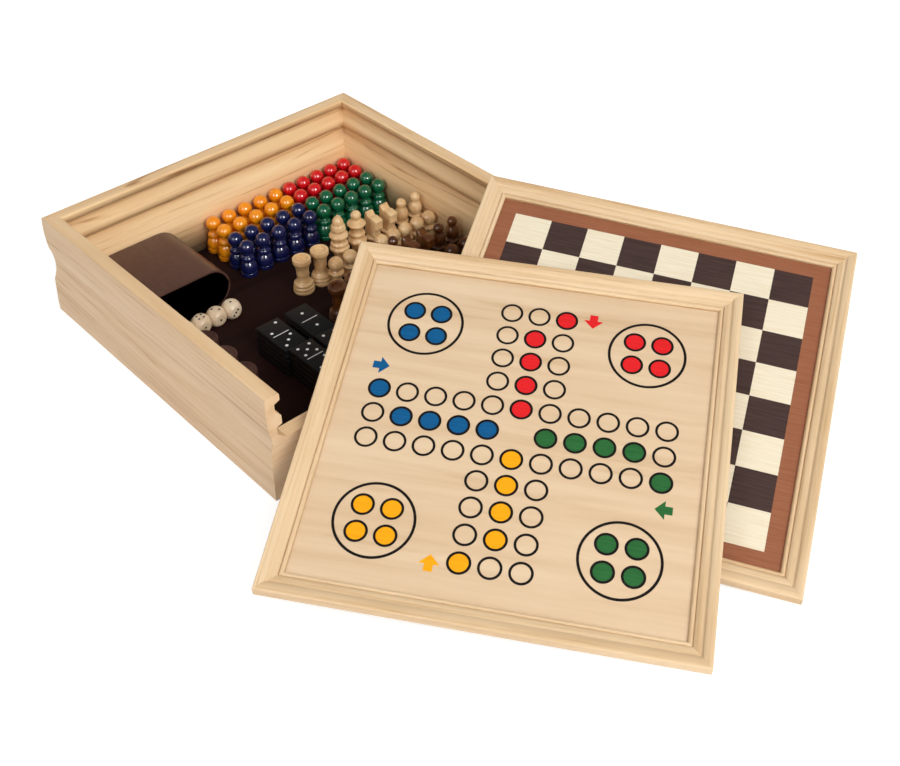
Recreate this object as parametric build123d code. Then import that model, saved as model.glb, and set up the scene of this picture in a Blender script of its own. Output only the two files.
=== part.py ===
from build123d import *
import os
from math import acos, cos, pi, radians, sin, sqrt

# Games compendium box, open, with its two boards leaning against the low front wall.
# Millimetres, +Z up. The origin is the centre of the box on the surface that it stands on.
# The low front wall is on -Y, and the left wall is on -X.

os.makedirs("parts", exist_ok=True)

# Fits
touch_gap = 0.3  # between separate pieces that lean on each other
corner_sink = 0.2  # a leaning board's square corner is this far below the floor, its bevelled one just above
tile_gap = 0.1  # between tiles or discs in a stack

# Box
box_size = 300.0  # outside, across the top edges
box_height = 90.0
wall = 14.0  # thickness below the grooves
upper_wall = 11.6  # thickness beside the grooves
base_thickness = 5.5
base_rebate = 6.0  # how far the base reaches under each wall's inner face
lip_height = 6.0  # above the upper groove
groove_depth = 4.5
groove_mouth = 13.0
groove_floor = 6.0
groove_slope = 1.6  # height of the short slope under a groove's upper lip
groove_pitch = 20.0
front_ledge = 3.0  # the low front wall ends this far below the lower groove, and the boards slide in over it
cove_depth = 2.6
cove_drop = 43.5  # from the top edge down to the middle of the outer face's hollow
cove_half_width = 15.0
foot_flare = 0.5  # the wall's foot stands this far outside its top edge
edge_round = 1.0

# Boards
board_play = 2.6  # between a board and the floor of the grooves, both sides together
board_size = box_size - 2 * (upper_wall - groove_depth) - board_play
board_thickness = 9.0
panel_thickness = 3.0
panel_recess = 0.5  # the panel's underside above the frame's underside
board_bevel = 1.2  # on the lower outer edge, so that the board enters its groove
rail_width = 16.0
rail_lap = 6.0  # how far a rail laps over the panel's edge
rail_band = 6.4  # flat outer band of the moulding

# Halma pins, one grid of four colours
pin_height = 33.0
pin_ball_radius = 6.4
pin_base_radius = 7.4
pin_rows = 4
pin_columns = 10
pin_pitch_left = 16.3  # orange and blue pins
pin_pitch_right = 15.1  # red and green pins
pin_group_gap = 0.3  # between the feet of the two groups
pin_pitch_y = 16.5
pin_wall_gap = 0.3

# Chessmen
rook_height = 32.5
rook_radius = 8.9
king_height = 56.5
queen_height = 52.0
tall_radius = 9.2
knight_height = 42.5
bishop_height = 42.5
small_radius = 7.4
pawn_height = 30.0
pawn_radius = 6.3
knight_width = 8.0
rank = ["bishop", "bishop", "knight", "knight", "queen", "king", "rook", "rook"]  # from the right wall
rank_gaps = [0.3, 0.7, 1.0, 0.6, 0.4, 2.6, 0.3]  # between the feet of one rank
light_rank_gap = 0.6  # from the right wall to the rank's first foot
dark_rank_gap = 2.7
light_pawn_gaps = [0.3, 0.5, 0.5, 0.5, 0.5, 4.4, 3.4, 2.4]  # the first is from the right wall
dark_pawn_gaps = [4.1] + [2.7] * 7
rank_from_back = 108.0  # from the back wall to the light rank's middle
dark_rank_step = 50.5  # from the light rank to the dark one
light_pawn_step = 16.0  # from a rank to its pawns
dark_pawn_step = 16.9

# Dominoes, six stacks in two rows
tile_width = 20.5
tile_length = 38.4
tile_thickness = 5.0
tile_edge = 0.6
stack_from_back = 151.4  # from the back wall to the first row of stacks
stack_gap = 0.2  # between the two rows of stacks
full_stack = 5
short_stack = 4

# Draughts
disc_radius = 11.5
disc_thickness = 4.0
disc_stack = 4
disc_stacks = 3
disc_pitch_y = 26.2
disc_gap = 9.8  # from the dice to the first stack

# Dice
die_size = 14.0
die_ball_radius = 8.4  # the sphere that rounds the die's corners
die_count = 5
die_pitch = 14.3
die_from_left = 79.4  # from the left wall to the middle of the first die
die_gap = 10.4  # from the cup to the dice

# Dice cup, lying on its side with its mouth to the front
cup_width = 85.0
cup_height = 36.5
cup_length = 78.5
cup_wall = 1.6
cup_room = 0.21  # share of the spare room between the left wall and the pins that is left of the cup
cup_end_round = 3.5

half = box_size / 2
inner = half - wall
floor_z = base_thickness
upper_groove_top = box_height - lip_height
lower_groove_top = upper_groove_top - groove_pitch
front_height = lower_groove_top - groove_mouth - front_ledge
cove_centre_z = box_height - cove_drop


def outline(points):
    """A closed face in X and Y: a pair is a line's end, four numbers are an arc's end and its middle."""
    edges = []
    here = points[0]
    for point in points[1:] + [points[0]]:
        end = point[:2]
        if len(point) == 4:
            edges.append(ThreePointArc(here[:2], point[2:], end))
        elif (here[0] - end[0]) ** 2 + (here[1] - end[1]) ** 2 > 1e-9:
            edges.append(Line(here[:2], end))
        here = point
    return make_face(Curve() + edges)


def prism_x(face, length):
    """The face's X runs along Y and its Y along Z; the solid is centred on X = 0."""
    plane = Plane(origin=(-length / 2, 0, 0), x_dir=(0, 1, 0), z_dir=(1, 0, 0))
    return extrude(plane * face, amount=length)


def mitred(bar, half_length):
    """Cut both ends of a bar along X at 45 degrees. Its outer face is Y = 0 and its inside is +Y."""
    reach = 60.0
    for side in (-1, 1):
        corner = (side * half_length, 0)
        wedge = make_face(
            Polyline(
                (corner[0] + side * reach, -reach),
                (corner[0] + side * reach, reach),
                (corner[0] - side * reach, reach),
                (corner[0] + side * reach, -reach),
            )
        )
        bar = bar - Pos(0, 0, -reach) * extrude(wedge, amount=4 * reach)
    return bar


def turned(points):
    """A turned piece about Z, from its outline in radius and height."""
    face = outline(points)
    return revolve(Plane.XZ * face, axis=Axis.Z)


def ball_on(neck, radius, top):
    """The outline of a ball from where it leaves its neck to its top."""
    centre = top - radius
    middle = (pi / 2 - acos(neck / radius)) / 2
    foot_z = centre - sqrt(radius ** 2 - neck ** 2)
    return [(neck, foot_z), (0, top, radius * cos(middle), centre + radius * sin(middle))]


def write(name, solids):
    solids = solids if isinstance(solids, list) else [solids]
    shape = solids[0] if len(solids) == 1 else Compound(children=solids)
    shape.label = name
    export_step(shape, "parts/" + name + ".step")


# Box walls -------------------------------------------------------------------


def groove(top_z, lower_side):
    """One board groove in the wall's inner face, from its upper mouth down to the face below it."""
    return [
        (upper_wall, top_z),
        (upper_wall - groove_depth, top_z - groove_slope),
        (upper_wall - groove_depth, top_z - groove_slope - groove_floor),
        (lower_side, top_z - groove_mouth),
    ]


def wall_section():
    cove_top = cove_centre_z + cove_half_width
    cove_foot = cove_centre_z - cove_half_width
    inside = groove(upper_groove_top, upper_wall) + groove(lower_groove_top, wall)
    return outline(
        [
            (edge_round, box_height),
            (upper_wall - edge_round, box_height),
            (upper_wall, box_height - edge_round),
        ]
        + inside
        + [
            (wall, base_thickness),
            (wall - base_rebate, base_thickness),
            (wall - base_rebate, 0),
            (edge_round - foot_flare, 0),
            (-foot_flare, edge_round),
            (-foot_flare, cove_foot / 3),
            (0.2, cove_foot),
            (0.6, cove_top, cove_depth, cove_centre_z),
            (0, box_height - edge_round, -0.3, (cove_top + box_height) / 2),
            (edge_round, box_height, 0.3 * edge_round, box_height - 0.3 * edge_round),
        ]
    )


full_bar = prism_x(wall_section(), box_size + 2 * foot_flare)
cut_above = Pos(0, 0, front_height + box_height) * Box(3 * box_size, 4 * wall, 2 * box_height)
low_bar = full_bar - cut_above

# A wall is made along X with its outer face on Y = 0, then turned and set in its place.
back_wall = Pos(0, half, 0) * Rot(0, 0, 180) * mitred(full_bar, half)
front_wall = Pos(0, -half, 0) * mitred(low_bar, half)

# The side walls are mitred to the back wall all the way up, and to the front wall as high as it is.
# Above it they run on, square, to the front face.
front_corner = make_face(Polyline((-half - wall, -half - wall), (-half + wall * 2, -half - wall),
                                  (-half + wall * 2, -half + wall * 2), (-half - wall, -half - wall)))
front_corner = Pos(0, 0, -1) * extrude(front_corner, amount=front_height + 1)
back_corner = make_face(Polyline((-half - wall, half + wall), (-half + wall * 2, half + wall),
                                 (-half + wall * 2, half - wall * 2), (-half - wall, half + wall)))
back_corner = Pos(0, 0, -1) * extrude(back_corner, amount=box_height + 2)
front_trim = Box(3 * box_size, box_size, 2 * box_height)
front_trim = Pos(0, -half - box_size / 2, front_height + box_height) * front_trim
left_bar = Pos(-half, 0, 0) * Rot(0, 0, -90) * full_bar
left_wall = left_bar - front_trim - front_corner - back_corner
right_wall = mirror(left_wall, about=Plane.YZ)

base_half = inner + base_rebate
base_panel = Pos(0, 0, base_thickness / 2) * Box(2 * base_half, 2 * base_half, base_thickness)

write("wall_back", back_wall)
write("wall_front", front_wall)
write("wall_left", left_wall)
write("wall_right", right_wall)
write("base_panel", base_panel)

# Boards ----------------------------------------------------------------------
# A board is made flat about its centre, with its panel's top face on Z = 0.

frame_top = board_thickness - panel_thickness - panel_recess
frame_foot = -panel_thickness - panel_recess
board_half = board_size / 2


def rail_section():
    lap = rail_width - rail_lap
    return outline(
        [
            (board_bevel, frame_foot),
            (lap, frame_foot),
            (lap, 0),
            (rail_width, 0),
            (rail_width, 1.2),
            (rail_width - 2.6, 2.8, rail_width - 1.1, 2.8),
            (rail_width - 2.8, 1.8),
            (rail_width - 3.4, 1.8),
            (rail_width - 3.5, 3.3),
            (rail_band + 2.2, frame_top - 1.6),
            (rail_band, frame_top - 0.5, rail_band + 0.7, frame_top - 1.2),
            (rail_band, frame_top),
            (0.8, frame_top),
            (0, frame_top - 0.8, 0.24, frame_top - 0.24),
            (0, frame_foot + board_bevel),
        ]
    )


flat_rail = Pos(0, -board_half, 0) * mitred(prism_x(rail_section(), board_size), board_half)
panel_half = board_half - rail_width + rail_lap
flat_panel = Pos(0, 0, -panel_thickness / 2) * Box(2 * panel_half, 2 * panel_half, panel_thickness)
rail_turns = {"near": 0, "right": 90, "far": 180, "left": 270}


def leaning_board(corner, heading, rest_a, rest_b):
    """A board with its lower right corner at the first point and its underside through the other two."""
    corner = Vector(*corner)
    normal = (rest_b - corner).cross(rest_a - corner).normalized()
    plan = Vector(cos(radians(heading)), sin(radians(heading)), 0)
    along = (plan - Vector(0, 0, plan.dot(normal) / normal.Z)).normalized()
    centre = corner - along * board_half + normal.cross(along) * board_half - normal * frame_foot
    return Plane(origin=centre, x_dir=along, z_dir=normal)


def edge_crossing(edge_point, edge_way, line_point, line_way):
    """The point of a line that is straight under or over an edge."""
    step = line_point - edge_point
    across = edge_way.X * line_way.Y - edge_way.Y * line_way.X
    return line_point + line_way * ((step.X * edge_way.Y - step.Y * edge_way.X) / across)


lift = Vector(0, 0, touch_gap)

# The chess board stands on one corner and leans on the inner corner of the right wall's front end.
# Shares of the board's size put a standing corner to the right and in front of the front wall's middle.
chess_stand = (0.1268, 1.0561)
chess_corner = (chess_stand[0] * board_size, -half - chess_stand[1] * board_size, -corner_sink)
chess_heading = -58.71
chess_rise = 0.0810  # upwards from the standing corner to the other lower corner, for each millimetre
right_wall_rest = Vector(half - upper_wall, -half, box_height) + lift
chess_level = Vector(cos(radians(chess_heading)), sin(radians(chess_heading)), -chess_rise)
chess_place = leaning_board(chess_corner, chess_heading, Vector(*chess_corner) - chess_level, right_wall_rest)

# The ludo board stands on one corner, and leans on the front wall's top and on the chess board's left rail.
# Both rests are where one of its own edges crosses them, so they are found by closing in on them.
ludo_stand = (-0.1631, 1.0417)
ludo_corner = (ludo_stand[0] * board_size, -half - ludo_stand[1] * board_size, -corner_sink)
ludo_heading = -53.18
front_wall_top = Vector(0, -half + cove_depth, front_height) + lift
chess_left_edge = chess_place.origin - chess_place.x_dir * board_half + chess_place.z_dir * frame_top + lift
front_wall_rest = front_wall_top - Vector(0.4 * box_size, 0, 0)
chess_rest = chess_left_edge + chess_place.y_dir * 0.2 * board_size
for step in range(4):
    ludo_place = leaning_board(ludo_corner, ludo_heading, front_wall_rest, chess_rest)
    along = ludo_place.x_dir
    across = ludo_place.y_dir
    left_side = ludo_place.origin - along * board_half
    far_side = ludo_place.origin + across * board_half
    front_wall_rest = edge_crossing(left_side, across, front_wall_top, Vector(1, 0, 0))
    chess_rest = edge_crossing(far_side, along, chess_left_edge, chess_place.y_dir)

for board_name, place in (("ludo", ludo_place), ("chess", chess_place)):
    for side, turn in rail_turns.items():
        write(board_name + "_rail_" + side, place.location * Rot(0, 0, turn) * flat_rail)
    write(board_name + "_panel", place.location * flat_panel)

# Halma pins ------------------------------------------------------------------


def pin():
    return turned(
        [
            (0, 0),
            (pin_base_radius - 0.5, 0),
            (pin_base_radius, 0.5),
            (pin_base_radius, 3.0),
            (pin_base_radius - 0.6, 3.8),
            (4.7, 13.4, 7.0, 8.6),
            (4.2, 19.0, 5.8, 16.2),
            (3.6, 19.6),
        ]
        + ball_on(3.6, pin_ball_radius, pin_height)
    )


one_pin = pin()
last_pin_x = inner - pin_base_radius - pin_wall_gap
first_pin_y = last_pin_x
half_columns = range(pin_columns // 2)
right_pins = [last_pin_x - i * pin_pitch_right for i in half_columns]
left_pins = [right_pins[-1] - 2 * pin_base_radius - pin_group_gap - i * pin_pitch_left for i in half_columns]
pin_sides = {"left": left_pins, "right": right_pins}
pin_halves = {"back": range(pin_rows // 2), "front": range(pin_rows // 2, pin_rows)}
pin_colours = {
    "orange": ("left", "back"),
    "red": ("right", "back"),
    "blue": ("left", "front"),
    "green": ("right", "front"),
}
for colour, (side, depth) in pin_colours.items():
    group = []
    for row in pin_halves[depth]:
        for x in pin_sides[side]:
            group.append(Pos(x, first_pin_y - row * pin_pitch_y, floor_z) * one_pin)
    write("pins_" + colour, group)

# Chessmen --------------------------------------------------------------------


def foot(radius, waist, waist_z):
    """The turned foot that every chessman shares, from the centre of its base up to its waist."""
    return [
        (0, 0),
        (radius - 0.6, 0),
        (radius - 0.2, 0.6),
        (radius - 0.2, 2.6, radius, 1.6),
        (radius - 0.6, 3.0),
        (radius - 0.8, 6.0, radius - 0.1, 4.6),
        (radius - 1.2, 6.4),
        (radius - 2.0, 9.4, radius - 0.9, 8.0),
        (radius - 2.4, 9.8),
        (waist, waist_z, waist + 0.6, (9.8 + waist_z) / 2),
    ]


def rook():
    top = rook_height
    return turned(
        foot(rook_radius, 5.4, 17.0)
        + [
            (7.2, top - 5.0, 5.5, top - 9.8),
            (7.7, top - 3.6),
            (7.7, top - 0.8),
            (6.9, top),
            (5.2, top),
            (4.6, top - 2.4),
            (0, top - 2.8),
        ]
    )


def king():
    top = king_height
    shoulder = 48.0
    return turned(
        foot(tall_radius, 5.4, 18.5)
        + [
            (6.9, 22.6),
            (7.5, 26.4, 7.9, 24.6),
            (6.5, 27.2),
            (6.5, 30.8, 7.4, 29.0),
            (6.0, 31.6),
            (7.3, 35.4, 6.2, 33.8),
            (7.3, 38.6, 7.7, 37.0),
            (5.4, 40.4),
            (5.4, 41.4),
            (6.1, 44.4, 6.2, 42.8),
            (5.2, 47.6, 5.9, 46.2),
            (4.5, shoulder),
            (1.4, top - 1.4, 4.1, (shoulder + top) / 2),
        ]
        + ball_on(1.4, 1.4, top)[1:]
    )


def queen():
    top = queen_height
    ball = 4.4
    return turned(
        foot(tall_radius, 5.4, 18.0)
        + [
            (6.9, 21.6),
            (7.4, 25.6, 7.8, 23.6),
            (6.2, 27.0),
            (6.1, 28.6),
            (6.1, 32.0, 7.1, 30.3),
            (5.6, 32.8),
            (7.5, 38.6, 5.9, 36.4),
            (7.5, 40.8, 7.8, 39.7),
            (3.4, top - 2 * ball + 0.9, 6.4, 42.4),
        ]
        + ball_on(3.4, ball, top)
    )


def bishop():
    top = bishop_height
    ball = 4.5
    return turned(
        foot(small_radius, 4.2, 16.0)
        + [
            (5.6, 19.4),
            (5.6, 21.2, 5.9, 20.3),
            (4.0, 22.0),
            (3.6, top - 2 * ball + 0.5, 6.0, 28.0),
        ]
        + ball_on(3.5, ball, top)
    )


def pawn():
    top = pawn_height
    ball = 6.3
    return turned(
        [
            (0, 0),
            (pawn_radius - 0.6, 0),
            (pawn_radius - 0.2, 0.6),
            (pawn_radius - 0.2, 3.0, pawn_radius, 1.8),
            (pawn_radius - 0.9, 3.6),
            (pawn_radius - 1.2, 6.4, pawn_radius - 0.6, 5.0),
            (3.9, 12.2, 4.4, 9.4),
            (5.9, 14.6, 4.4, 14.0),
            (5.9, 16.6, 6.3, 15.6),
            (4.0, top - 2 * ball - 0.3),
        ]
        + ball_on(3.2, ball, top)
    )


def knight():
    """A turned foot with a flat-sided head: its outline is in Y and Z, with the nose to the front."""
    top = knight_height
    collar = [(6.4, 18.4), (6.4, 20.4, 6.8, 19.4), (5.8, 21.0), (0, 21.0)]
    stub = turned(foot(small_radius, 5.6, 15.0) + collar)
    head = outline(
        [
            (6.2, 19.5),
            (7.0, 28.0, 7.3, 23.6),
            (6.8, top - 1.2, 7.4, 34.0),
            (5.6, top),
            (4.2, top - 0.2),
            (1.2, top - 3.6),
            (-1.0, top - 2.6),
            (-7.6, top - 3.6),
            (-8.8, top - 4.8),
            (-8.4, top - 12.0),
            (-7.0, top - 13.0),
            (-5.8, 19.5, -4.6, 24.6),
        ]
    )
    return stub + prism_x(head, knight_width)


def places_from_right(radii, gaps):
    """Where round feet stand in a row that starts at the right wall, with a gap before each."""
    places = []
    edge = inner
    for radius, gap in zip(radii, gaps):
        places.append(edge - gap - radius)
        edge = places[-1] - radius
    return places


makers = {"rook": rook, "king": king, "queen": queen, "knight": knight, "bishop": bishop}
shapes = {kind: make() for kind, make in makers.items()}
feet = {
    "rook": rook_radius,
    "king": tall_radius,
    "queen": tall_radius,
    "knight": small_radius,
    "bishop": small_radius,
}
node_names = {
    "rook": "rooks",
    "king": "king",
    "queen": "queen",
    "knight": "knights",
    "bishop": "bishops",
}
one_pawn = pawn()
light_rank_y = inner - rank_from_back
dark_rank_y = light_rank_y - dark_rank_step
armies = (
    ("light", light_rank_y, light_rank_gap, light_rank_y - light_pawn_step, light_pawn_gaps),
    ("dark", dark_rank_y, dark_rank_gap, dark_rank_y - dark_pawn_step, dark_pawn_gaps),
)
for army, rank_y, rank_gap, pawn_y, pawn_gaps in armies:
    rank_x = places_from_right([feet[kind] for kind in rank], [rank_gap] + rank_gaps)
    for kind, name in node_names.items():
        men = [Pos(x, rank_y, floor_z) * shapes[kind] for x, other in zip(rank_x, rank) if other == kind]
        write(army + "_" + name, men)
    pawn_x = places_from_right([pawn_radius] * len(pawn_gaps), pawn_gaps)
    write(army + "_pawns", [Pos(x, pawn_y, floor_z) * one_pawn for x in pawn_x])

# Dominoes --------------------------------------------------------------------

tile = fillet(Box(tile_width, tile_length, tile_thickness).edges(), tile_edge)
tile_step = tile_thickness + tile_gap
stack_back_y = inner - stack_from_back
stack_step_y = tile_length + stack_gap
first_stacks = {"domino_stack_1": -59.4, "domino_stack_3": -32.4}
second_stacks = {
    "domino_stack_2": -56.2,
    "domino_stack_4": -32.2,
    "domino_stack_5": -10.2,
    "domino_stack_6": 12.0,
}
short_stacks = ("domino_stack_5", "domino_stack_6")
for place_back, stacks in enumerate((first_stacks, second_stacks)):
    y = stack_back_y - tile_length / 2 - place_back * stack_step_y
    for name, x in stacks.items():
        count = short_stack if name in short_stacks else full_stack
        write(name, [Pos(x, y, floor_z + tile_thickness / 2 + i * tile_step) * tile for i in range(count)])

# Dice cup --------------------------------------------------------------------


def cup_solid(inset, length):
    """A lying solid with two flat and two round sides, its closed end on Y = 0 and its length to -Y."""
    width = cup_width - 2 * inset
    height = cup_height - 2 * inset
    section = Plane(origin=(0, 0, 0), x_dir=(1, 0, 0), z_dir=(0, -1, 0)) * SlotOverall(width, height)
    return extrude(section, amount=length)


cup_body = cup_solid(0, cup_length)
cup_body = fillet(cup_body.faces().sort_by(Axis.Y)[-1].edges(), cup_end_round)
cup_hollow = Pos(0, -cup_wall * 2, 0) * cup_solid(cup_wall, cup_length)
cup_hollow = fillet(cup_hollow.faces().sort_by(Axis.Y)[-1].edges(), cup_end_round - cup_wall)
cup = cup_body - cup_hollow
spare_room = left_pins[-1] - pin_base_radius + inner - cup_width
cup_x = -inner + cup_room * spare_room + cup_width / 2
cup_back_y = inner - touch_gap
write("dice_cup", Pos(cup_x, cup_back_y, floor_z + cup_height / 2 + tile_gap) * cup)

# Dice ------------------------------------------------------------------------

one_die = Box(die_size, die_size, die_size) & Sphere(die_ball_radius)
die_y = cup_back_y - cup_length - die_gap - die_size / 2
for i in range(die_count):
    die_x = die_from_left - inner - i * die_pitch
    write("die_" + str(i + 1), Pos(die_x, die_y, floor_z + die_size / 2) * one_die)

# Draughts --------------------------------------------------------------------


def disc():
    rim = disc_radius
    t = disc_thickness
    return turned(
        [
            (0, 0),
            (rim - 0.6, 0),
            (rim, 0.6),
            (rim, t - 0.6),
            (rim - 0.6, t),
            (rim - 2.2, t),
            (rim - 3.4, t, rim - 2.8, t - 0.6),
            (rim - 6.0, t),
            (rim - 6.8, t - 0.5),
            (0, t - 0.5),
        ]
    )


one_disc = disc()
disc_step = disc_thickness + tile_gap
outer_disc_x = -inner + disc_radius + tile_gap
inner_disc_x = outer_disc_x + 2 * disc_radius + 3 * touch_gap
disc_first_y = die_y - die_size / 2 - disc_gap - disc_radius
for colour, x in (("dark", inner_disc_x), ("light", outer_disc_x)):
    discs = []
    for stack in range(disc_stacks):
        for layer in range(disc_stack):
            spot = Pos(x, disc_first_y - stack * disc_pitch_y, floor_z + layer * disc_step)
            discs.append(spot * one_disc)
    write("draughts_" + colour, discs)
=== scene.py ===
import random
from math import acos, atan, cos, pi, radians, sin, sqrt, tan

import bmesh
import bpy
from mathutils import Matrix, Vector


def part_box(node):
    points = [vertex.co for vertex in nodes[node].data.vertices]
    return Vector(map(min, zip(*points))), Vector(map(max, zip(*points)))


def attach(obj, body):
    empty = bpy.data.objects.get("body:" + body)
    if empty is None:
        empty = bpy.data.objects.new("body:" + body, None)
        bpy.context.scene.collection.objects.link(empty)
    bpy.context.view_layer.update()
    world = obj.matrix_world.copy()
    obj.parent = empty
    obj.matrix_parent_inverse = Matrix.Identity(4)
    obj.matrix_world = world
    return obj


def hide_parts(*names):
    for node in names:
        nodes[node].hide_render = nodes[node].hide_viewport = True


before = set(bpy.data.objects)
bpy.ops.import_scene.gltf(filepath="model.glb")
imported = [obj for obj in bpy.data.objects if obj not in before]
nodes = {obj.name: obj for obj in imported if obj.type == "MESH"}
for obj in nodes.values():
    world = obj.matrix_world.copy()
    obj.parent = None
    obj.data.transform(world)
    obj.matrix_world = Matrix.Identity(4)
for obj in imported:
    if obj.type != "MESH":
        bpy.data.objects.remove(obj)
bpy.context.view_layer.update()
mm = 0.001
samePoint = 0.001 * mm  # points closer than this are one
print("frame loaded:", len(nodes), "nodes")


# Colours and shader nodes

def linear(hexColour):
    # an sRGB hex colour as the linear values that shaders take
    values = [int(hexColour[i:i + 2], 16) / 255 for i in (1, 3, 5)]
    return [v / 12.92 if v <= 0.04045 else ((v + 0.055) / 1.055) ** 2.4 for v in values] + [1.0]


def addNode(tree, kind, inputs=None, stops=None, **settings):
    # one shader node with its settings, its linked or fixed inputs, and the stops of a colour ramp
    node = tree.nodes.new(kind)
    for name, value in settings.items():
        setattr(node, name, value)
    for name, value in (inputs or {}).items():
        if isinstance(value, bpy.types.NodeSocket):
            tree.links.new(value, node.inputs[name])
        else:
            node.inputs[name].default_value = value
    for i, (place, colour) in enumerate(stops or []):
        element = node.color_ramp.elements[i] if i < 2 else node.color_ramp.elements.new(place)
        element.position = place
        element.color = linear(colour)
    return node


def startMaterial(name, shaderInputs):
    # a material with a Principled shader; what is the same all over is set on its sockets
    material = bpy.data.materials.new(name)
    material.use_nodes = True
    tree = material.node_tree
    shader = tree.nodes["Principled BSDF"]
    for socket, value in shaderInputs.items():
        shader.inputs[socket].default_value = value
    return material, tree, shader


patterns = {  # each pattern's length along the grain and width across it, in millimetres
    "bend": (1250 / 3, 50),  # slow bends of the growth lines
    "streak": (200, 40 / 3),
    "dash": (62.5, 20 / 3),  # the stretches in which a growth line shows
    "fibre": (50 / 3, 2 / 3),  # real fibres are finer, and are drawn as coarse as they need to show
    "inkedFibre": (100 / 3, 10 / 7),
    "pool": (6.25, 25 / 6),  # where lacquer lies a little thicker
    "metre": (1000, 1000),  # no pattern of its own: the coordinates in metres
}
growth = {
    "lean": 0.35,  # how far the growth lines shift across a face for each step of depth in the wood
    "lineFrom": 0.7,  # height of each ring's wave from which its dark line shows
    "dashFrom": 0.4,  # dash noise over which a line fades in
    "dashTo": 0.68,
}
woodIor = 1.5  # of wood and lacquer alike


def grainVector(tree, pattern):
    # the piece's own grain coordinates, X along the grain, in units of the pattern's length and width
    length, width = patterns[pattern]
    repeats = (1 / (length * mm), 1 / (width * mm), 1 / (width * mm))
    grain = addNode(tree, "ShaderNodeAttribute", attribute_name="grain", attribute_type="GEOMETRY")
    return addNode(tree, "ShaderNodeVectorMath", {0: grain.outputs["Vector"], 1: repeats},
                   operation="MULTIPLY").outputs[0]


def addBump(tree, shader, height, strength, distance):
    bump = addNode(tree, "ShaderNodeBump", {"Height": height, "Strength": strength, "Distance": distance})
    tree.links.new(bump.outputs["Normal"], shader.inputs["Normal"])


def woodMaterial(name, wood):
    # long soft streaks, thin broken growth lines that wander along the grain, and fine fibres over all
    material, tree, shader = startMaterial(name, {
        "Roughness": wood["roughness"], "IOR": woodIor, "Specular IOR Level": wood["shine"],
        "Coat Weight": wood["coat"], "Coat Roughness": wood["coatRoughness"],
    })
    ringTurns = 2 * pi / (wood["ringWidth"] * mm)
    bends = addNode(tree, "ShaderNodeTexNoise", {"Vector": grainVector(tree, "bend"), "Scale": 1.0,
                                                 "Detail": 3.0, "Roughness": 0.5})
    grain = addNode(tree, "ShaderNodeSeparateXYZ", {0: grainVector(tree, "metre")})
    across = addNode(tree, "ShaderNodeMath", {0: grain.outputs["Z"], 1: growth["lean"],
                                              2: grain.outputs["Y"]}, operation="MULTIPLY_ADD")
    bent = addNode(tree, "ShaderNodeMath", {0: bends.outputs["Fac"], 1: wood["wander"] * mm,
                                            2: across.outputs[0]}, operation="MULTIPLY_ADD")
    phase = addNode(tree, "ShaderNodeMath", {0: bent.outputs[0], 1: ringTurns}, operation="MULTIPLY")
    wave = addNode(tree, "ShaderNodeMath", {0: phase.outputs[0]}, operation="SINE")
    lines = addNode(tree, "ShaderNodeMapRange", {"Value": wave.outputs[0], "From Min": growth["lineFrom"],
                                                 "From Max": 1.0}, interpolation_type="SMOOTHSTEP")
    dashes = addNode(tree, "ShaderNodeTexNoise", {"Vector": grainVector(tree, "dash"), "Scale": 1.0,
                                                  "Detail": 3.0, "Roughness": 0.6})
    broken = addNode(tree, "ShaderNodeMapRange", {"Value": dashes.outputs["Fac"],
                                                  "From Min": growth["dashFrom"],
                                                  "From Max": growth["dashTo"]})
    endGrain = addNode(tree, "ShaderNodeAttribute", attribute_name="endGrain", attribute_type="GEOMETRY")
    sides = addNode(tree, "ShaderNodeMath", {0: 1.0, 1: endGrain.outputs["Fac"]}, operation="SUBTRACT")
    drawn = addNode(tree, "ShaderNodeMath", {0: broken.outputs[0], 1: sides.outputs[0]},
                    operation="MULTIPLY")
    gated = addNode(tree, "ShaderNodeMath", {0: lines.outputs[0], 1: drawn.outputs[0]},
                    operation="MULTIPLY")
    streaks = addNode(tree, "ShaderNodeTexNoise", {"Vector": grainVector(tree, "streak"), "Scale": 1.0,
                                                   "Detail": 6.0, "Roughness": 0.55})
    fibres = addNode(tree, "ShaderNodeTexNoise", {"Vector": grainVector(tree, "fibre"), "Scale": 1.0,
                                                  "Detail": 2.0, "Roughness": 0.7})
    lined = addNode(tree, "ShaderNodeMath", {0: gated.outputs[0], 1: wood["lineDepth"],
                                             2: streaks.outputs["Fac"]}, operation="MULTIPLY_ADD")
    figure = addNode(tree, "ShaderNodeMath", {0: fibres.outputs["Fac"], 1: wood["fibreDepth"],
                                              2: lined.outputs[0]}, operation="MULTIPLY_ADD")
    ramp = addNode(tree, "ShaderNodeValToRGB", {"Fac": figure.outputs[0]}, stops=wood["stops"])
    colour = ramp.outputs["Color"]
    # painted light: a tint over the outer faces, cooler and paler than the warm bounced light on the inner
    # faces
    if "outside" in wood:
        outside = addNode(tree, "ShaderNodeAttribute", attribute_name="outside", attribute_type="GEOMETRY")
        tinted = addNode(tree, "ShaderNodeMix", {0: outside.outputs["Fac"], 6: colour,
                                                 7: linear(wood["outside"])},
                         data_type="RGBA", blend_type="MULTIPLY")
        colour = tinted.outputs[2]
    tree.links.new(colour, shader.inputs["Base Color"])
    addBump(tree, shader, figure.outputs[0], wood["bump"], 0.15 * mm)
    return material


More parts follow.
